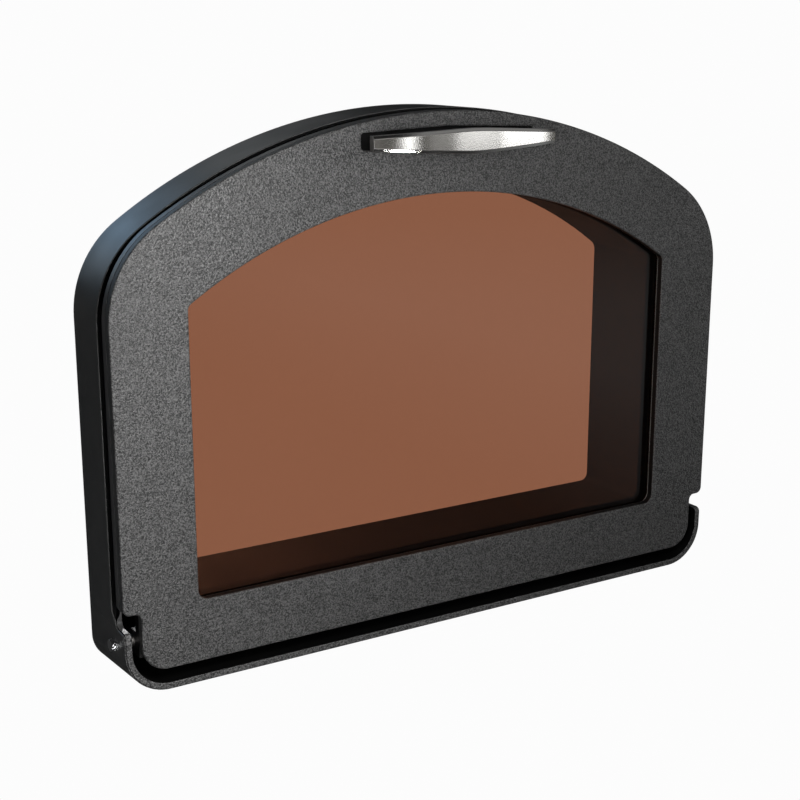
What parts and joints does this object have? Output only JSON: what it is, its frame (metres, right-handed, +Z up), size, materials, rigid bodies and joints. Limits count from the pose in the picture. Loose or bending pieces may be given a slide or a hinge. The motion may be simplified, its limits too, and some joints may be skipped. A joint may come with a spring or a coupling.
{
  "type": "pizza oven door",
  "caption": "Arched drop-down door with a tinted glass window, bowed steel handle and its own deep steel frame for a masonry oven.",
  "frame": {"origin": "centre of the tray's flat underside", "axes": "+X to the right of someone facing the door, +Y into the oven, +Z up"},
  "size_m": [0.6092, 0.138, 0.4493],
  "materials": {
    "painted_steel": "fine textured powder coat, satin",
    "stainless_steel": "bead-blasted and lightly polished",
    "zinc_steel": "bright zinc plate",
    "tinted_glass": "bronze tinted ceramic glass, polished",
    "glass_fibre_rope": "knitted glass-fibre rope, matt",
    "ceramic_tape": "woven ceramic tape, matt"
  },
  "bodies": {
    "frame": {"surround_band": "painted_steel", "front_flange": "painted_steel", "throat_sleeve": "painted_steel", "tray_back_plate": "painted_steel", "fixing_ears": "painted_steel", "pivot_bolts": "stainless_steel", "pivot_spacers": "stainless_steel", "pivot_washers": "stainless_steel", "pivot_nuts": "stainless_steel"},
    "door": {"door_plate": "painted_steel", "door_rim": "painted_steel", "hinge_lug_left": "painted_steel", "hinge_lug_right": "painted_steel", "glass_gasket": "ceramic_tape", "glass_pane": "tinted_glass", "glass_clips": "painted_steel", "clip_screws": "zinc_steel", "rope_seal": "glass_fibre_rope", "handle_bar": "stainless_steel", "handle_posts": "stainless_steel", "handle_screws": "zinc_steel", "slot_plate": "painted_steel", "slot_plate_studs": "zinc_steel", "slot_plate_nuts": "zinc_steel"}
  },
  "joints": [
    {"name": "door_hinge", "type": "hinge", "parent": "frame", "child": "door", "pos_m": [0, -0.0165, 0.039], "axis": [1, 0, 0], "range_deg": [0, 90]}
  ]
}
